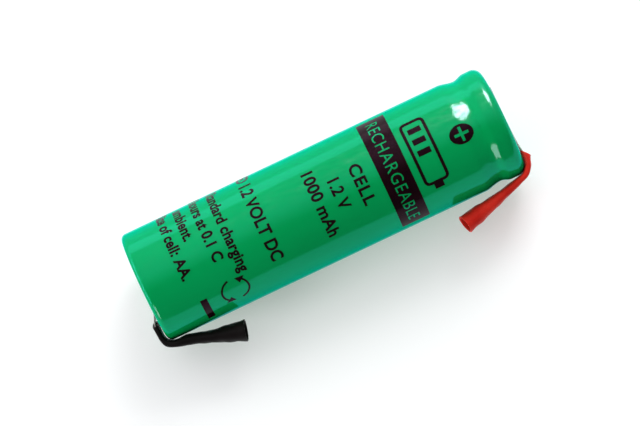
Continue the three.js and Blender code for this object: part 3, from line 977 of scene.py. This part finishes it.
# Places of the mix node's colour sockets.
MIX_INPUTS = (6, 7)
MIX_OUTPUT = 2
FINISHES = {
    "shrink_film": Finish(((0.0, 0.272, 0.060), (0.0, 0.305, 0.072)), (0.06, 0.14), patch=0.12,
                          grain=1.6, stretch=(0.35, 1, 1), bump=0.004, specular=0,
                          varnish=((0.10, 0.95, 0.95, 1), (0.25, 0.95, 0.95, 1))),
    "plated_steel": Finish(((0.52, 0.52, 0.51), (0.66, 0.66, 0.65)), (0.26, 0.38), metallic=1,
                           patch=0.4, grain=6, stretch=(0.3, 1, 1), bump=0.0008, anisotropic=0.3,
                           wear=(0.8, 0.8, 0.79)),
    "nickel_strip": Finish(((0.40, 0.385, 0.35), (0.60, 0.58, 0.54)), (0.22, 0.46), metallic=1,
                           patch=0.5, grain=9, stretch=(1, 0.12, 0.12), bump=0.0018,
                           anisotropic=0.5, wear=(0.75, 0.74, 0.71)),
    "red_tubing": Finish(((0.52, 0.016, 0.010), (0.66, 0.030, 0.018)), (0.34, 0.5), patch=0.4,
                         grain=5, bump=0.006, specular=0.06),
    "black_tubing": Finish(((0.005, 0.004, 0.004), (0.011, 0.009, 0.009)), (0.34, 0.52), patch=0.4,
                           grain=5, bump=0.006, specular=0.06),
    "white_fibre": Finish(((0.78, 0.76, 0.70), (0.88, 0.87, 0.83)), (0.75, 0.95), patch=1.2,
                          grain=9, bump=0.01),
    "nylon": Finish(((0.68, 0.65, 0.55), (0.78, 0.76, 0.68)), (0.35, 0.55), patch=0.5, grain=5,
                    bump=0.003),
    "vent_rubber": Finish(((0.012, 0.012, 0.013), (0.025, 0.025, 0.027)), (0.6, 0.85), patch=0.8,
                          grain=8, bump=0.008),
    "separator_felt": Finish(((0.72, 0.70, 0.62), (0.88, 0.87, 0.82)), (0.85, 1.0), patch=1.5,
                             grain=12, bump=0.02),
    "hydroxide_electrode": Finish(((0.03, 0.045, 0.038), (0.08, 0.10, 0.09)), (0.6, 0.9),
                                  metallic=0.2, patch=1.0, grain=9, bump=0.012),
    "alloy_electrode": Finish(((0.08, 0.08, 0.085), (0.16, 0.16, 0.165)), (0.5, 0.8), metallic=0.5,
                              patch=1.0, grain=9, bump=0.012),
    "print_ink": Finish(((0.005, 0.001, 0.002), (0.009, 0.002, 0.003)), (0.12, 0.2), patch=0.5,
                        grain=4, bump=0.002, tint=(1, 0.45, 0.8, 1), specular=0.12),
    "insulator_card": Finish(((0.55, 0.48, 0.33), (0.70, 0.64, 0.48)), (0.8, 0.95), patch=0.9,
                             grain=8, bump=0.012),
}


def noise(tree, scale, stretch, detail):
    """Noise in the piece's own millimetres, stretched along its axes."""
    place_node = tree.nodes.new("ShaderNodeTexCoord")
    mapping = tree.nodes.new("ShaderNodeMapping")
    mapping.inputs["Scale"].default_value = [scale * s / MM for s in stretch]
    texture = tree.nodes.new("ShaderNodeTexNoise")
    texture.inputs["Scale"].default_value = 1
    texture.inputs["Detail"].default_value = detail
    tree.links.new(place_node.outputs["Object"], mapping.inputs["Vector"])
    tree.links.new(mapping.outputs["Vector"], texture.inputs["Vector"])
    return texture.outputs["Fac"]


def mixed(tree, factor, first, second):
    """Colour between two shades by a factor between 0 and 1."""
    mix = tree.nodes.new("ShaderNodeMix")
    mix.data_type = "RGBA"
    tree.links.new(factor, mix.inputs["Factor"])
    for socket, shade in zip(MIX_INPUTS, (first, second)):
        if isinstance(shade, tuple):
            mix.inputs[socket].default_value = (*shade, 1)
        else:
            tree.links.new(shade, mix.inputs[socket])
    return mix.outputs[MIX_OUTPUT]


def remapped(tree, value, given, wanted):
    """Value moved from a given range, with its ends held, to a wanted range."""
    node = tree.nodes.new("ShaderNodeMapRange")
    for socket, number in zip(("From Min", "From Max", "To Min", "To Max"), (*given, *wanted)):
        node.inputs[socket].default_value = number
    tree.links.new(value, node.inputs["Value"])
    return node.outputs["Result"]


def add_varnish(tree, shader, colour, edge_colour):
    """Puts a clear skin, which reflects a colour of its own, over a material's shader."""
    skin = tree.nodes.new("ShaderNodeBsdfPrincipled")
    skin.inputs["Base Color"].default_value = colour
    skin.inputs["Specular Tint"].default_value = edge_colour
    skin.inputs["Metallic"].default_value = 1
    for socket in ("Roughness", "Normal"):
        tree.links.new(shader.inputs[socket].links[0].from_socket, skin.inputs[socket])
    edge = tree.nodes.new("ShaderNodeFresnel")
    edge.inputs["IOR"].default_value = VARNISH_IOR
    both = tree.nodes.new("ShaderNodeMixShader")
    tree.links.new(edge.outputs["Fac"], both.inputs["Fac"])
    tree.links.new(shader.outputs["BSDF"], both.inputs[1])
    tree.links.new(skin.outputs["BSDF"], both.inputs[2])
    tree.links.new(both.outputs["Shader"], tree.nodes["Material Output"].inputs["Surface"])


def make_material(name, finish):
    """Material of a finish, with all-over values on the shader's own sockets."""
    material = bpy.data.materials.new(name)
    material.use_nodes = True
    tree = material.node_tree
    shader = tree.nodes["Principled BSDF"]
    patches = noise(tree, finish.patch, finish.stretch, PATCH_DETAIL)
    grain = noise(tree, finish.grain, finish.stretch, GRAIN_DETAIL)
    colour = mixed(tree, remapped(tree, patches, NOISE_RANGE, (0, 1)), *finish.shades)
    if finish.wear:
        geometry = tree.nodes.new("ShaderNodeNewGeometry")
        edge = remapped(tree, geometry.outputs["Pointiness"], WEAR_RANGE, (0, WEAR_MOST))
        colour = mixed(tree, edge, colour, finish.wear)
    tree.links.new(colour, shader.inputs["Base Color"])
    roughness = remapped(tree, grain, NOISE_RANGE, finish.roughness)
    tree.links.new(roughness, shader.inputs["Roughness"])
    bump = tree.nodes.new("ShaderNodeBump")
    bump.inputs["Strength"].default_value = 1
    bump.inputs["Distance"].default_value = finish.bump * MM
    tree.links.new(grain, bump.inputs["Height"])
    tree.links.new(bump.outputs["Normal"], shader.inputs["Normal"])
    shader.inputs["Metallic"].default_value = finish.metallic
    shader.inputs["IOR"].default_value = PLASTIC_IOR
    shader.inputs["Specular IOR Level"].default_value = finish.specular
    shader.inputs["Specular Tint"].default_value = finish.tint
    shader.inputs["Anisotropic"].default_value = finish.anisotropic
    if finish.varnish:
        add_varnish(tree, shader, *finish.varnish)
    return material


MATERIALS = {name: make_material(name, finish) for name, finish in FINISHES.items()}


def finish_with(piece, slot_name):
    """Gives a piece the material that is named after a slot."""
    piece.data.materials.clear()
    piece.data.materials.append(MATERIALS[slot_name])


def dress(piece, body, slot_name, *nodes):
    """Finishes a new piece, which rides on a body and stands for the given nodes."""
    finish_with(piece, slot_name)
    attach(piece, body)
    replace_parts(piece, *nodes)


# ---- Camera, light and table ----------------------------------------------------------------

# The picture's camera looks along ACROSS, is turned by TILT about its line of sight, and aims a
# little beside the cell's middle.
TILT = radians(25.39)
LENS = 180
SENSOR = 36
NEAR_CLIP = 0.01
FRAME_WIDTH = 79.25 * MM
AIM_RIGHT = -0.433 * MM
AIM_UP = -1.114 * MM
RIGHT = ALONG * cos(TILT) + OUT * sin(TILT)
UP = ALONG * sin(TILT) - OUT * cos(TILT)

# Softboxes: direction from the cell, distance, width and height in metres, strength, colour, and
# what they light: all, only the diffuse part, or only the gloss of one group of pieces. The film's
# gloss is blue-green, so its own lamps are as much redder, and its highlights come out white.
KEY_DIRECTION = ALONG * 0.469 - OUT * 0.732 + ACROSS * 0.493
KEY_SIZE = (0.25, 0.25)
WHITE = (1, 1, 1)
REDDER = (1, 0.14, 0.15)
GLOSS_GROUPS = ("film", "print", "coated")
SOFTBOXES = {
    "key": (KEY_DIRECTION, 0.5, KEY_SIZE, 6.5, WHITE, "diffuse"),
    "film_key": (KEY_DIRECTION, 0.5, KEY_SIZE, 1250, REDDER, "film"),
    "print_key": (KEY_DIRECTION, 0.5, KEY_SIZE, 120, WHITE, "print"),
    "back_card": (Vector((0, 1, 0.19)), 0.5, (1.1, 0.2), 1.4, WHITE, "all"),
    "side_strip": (Vector((-0.94, 0, 0.34)), 0.6, (1.2, 0.07), 13, WHITE, "coated"),
    "side_fill": (Vector((-0.9, -0.3, 0.32)), 0.6, (0.3, 0.3), 7, WHITE, "diffuse"),
    "front_fill": (Vector((-0.47, -0.83, 0.3)), 0.5, (0.16, 0.24), 30, REDDER, "film"),
}
# The room's colour turns into the wall's over this range of the direction's Y.
ROOM_COLOUR = (0.2, 0.2, 0.205)
WALL_COLOUR = (1.1, 1.1, 1.11)
WALL_EDGE = (-0.3, 0.2)
TABLE_HALF = 2
TABLE_COLOUR = (0.74, 0.752, 0.757, 1)
TABLE_GLOW = 0.27
TABLE_ROUGHNESS = 0.6


def add_camera():
    """Camera of the picture."""
    data = bpy.data.cameras.new("camera")
    data.lens = LENS
    data.sensor_width = SENSOR
    data.clip_start = NEAR_CLIP
    camera = bpy.data.objects.new("camera", data)
    bpy.context.scene.collection.objects.link(camera)
    target = CENTRE + RIGHT * AIM_RIGHT + UP * AIM_UP
    position = target + ACROSS * FRAME_WIDTH * LENS / SENSOR
    axes = Matrix((RIGHT, UP, ACROSS)).transposed().to_4x4()
    camera.matrix_world = Matrix.Translation(position) @ axes
    bpy.context.scene.camera = camera


def add_softbox(name, direction, distance, size, strength, colour, lit):
    """Rectangular lamp that faces the cell's middle; its power grows with its area."""
    data = bpy.data.lights.new(name, "AREA")
    data.shape = "RECTANGLE"
    data.size, data.size_y = size
    data.color = colour
    data.energy = strength * pi * size[0] * size[1]
    light = bpy.data.objects.new(name, data)
    if lit in GLOSS_GROUPS:
        light.light_linking.receiver_collection = bpy.data.collections[lit]
    light.visible_diffuse = lit not in GLOSS_GROUPS
    light.visible_glossy = lit != "diffuse"
    bpy.context.scene.collection.objects.link(light)
    back = direction.normalized()
    light.location = CENTRE + back * distance
    light.rotation_euler = back.to_track_quat("Z", "Y").to_euler()


def add_world():
    """Soft surroundings: a pale wall on the side of Y, and a dim room on the other side."""
    world = bpy.data.worlds.new("studio")
    bpy.context.scene.world = world
    world.use_nodes = True
    tree = world.node_tree
    background = tree.nodes["Background"]
    coordinates = tree.nodes.new("ShaderNodeTexCoord")
    split = tree.nodes.new("ShaderNodeSeparateXYZ")
    tree.links.new(coordinates.outputs["Generated"], split.inputs["Vector"])
    wall = remapped(tree, split.outputs["Y"], WALL_EDGE, (0, 1))
    tree.links.new(mixed(tree, wall, ROOM_COLOUR, WALL_COLOUR), background.inputs["Color"])
    background.inputs["Strength"].default_value = 1


def add_table():
    """White table top with a faint glow of its own, which brings it to the picture's white."""
    mesh = bmesh.new()
    corners = block(-TABLE_HALF, TABLE_HALF, -TABLE_HALF, TABLE_HALF)
    mesh.faces.new([mesh.verts.new((x, y, 0)) for x, y in corners])
    table = solid("table", mesh)
    material = bpy.data.materials.new("table_white")
    material.use_nodes = True
    shader = material.node_tree.nodes["Principled BSDF"]
    shader.inputs["Base Color"].default_value = TABLE_COLOUR
    shader.inputs["Emission Color"].default_value = (*WHITE, 1)
    shader.inputs["Emission Strength"].default_value = TABLE_GLOW
    shader.inputs["Roughness"].default_value = TABLE_ROUGHNESS
    shader.inputs["Specular IOR Level"].default_value = 0
    table.data.materials.append(material)


def add_studio():
    """Camera, surroundings, lamps and table."""
    for group in GLOSS_GROUPS:
        bpy.data.collections.new(group)
    bpy.context.scene.view_settings.view_transform = "Standard"
    add_camera()
    add_world()
    for name, setting in SOFTBOXES.items():
        add_softbox(name, *setting)
    add_table()


# ---- Assembly -------------------------------------------------------------------------------

add_studio()
shrunk_film()
drawn_can()
fibre_washer()
contact_cap()
nylon_gasket()
dished_lid()
rubber_plug()
wound_roll()
insulator_cards()
collector_ribbon()
add_tag(POSITIVE_TAG)
add_tag(NEGATIVE_TAG)
print_band()
print_rating()
print_notes()
print_polarity()
print_charge_mark()
print_loop_mark()
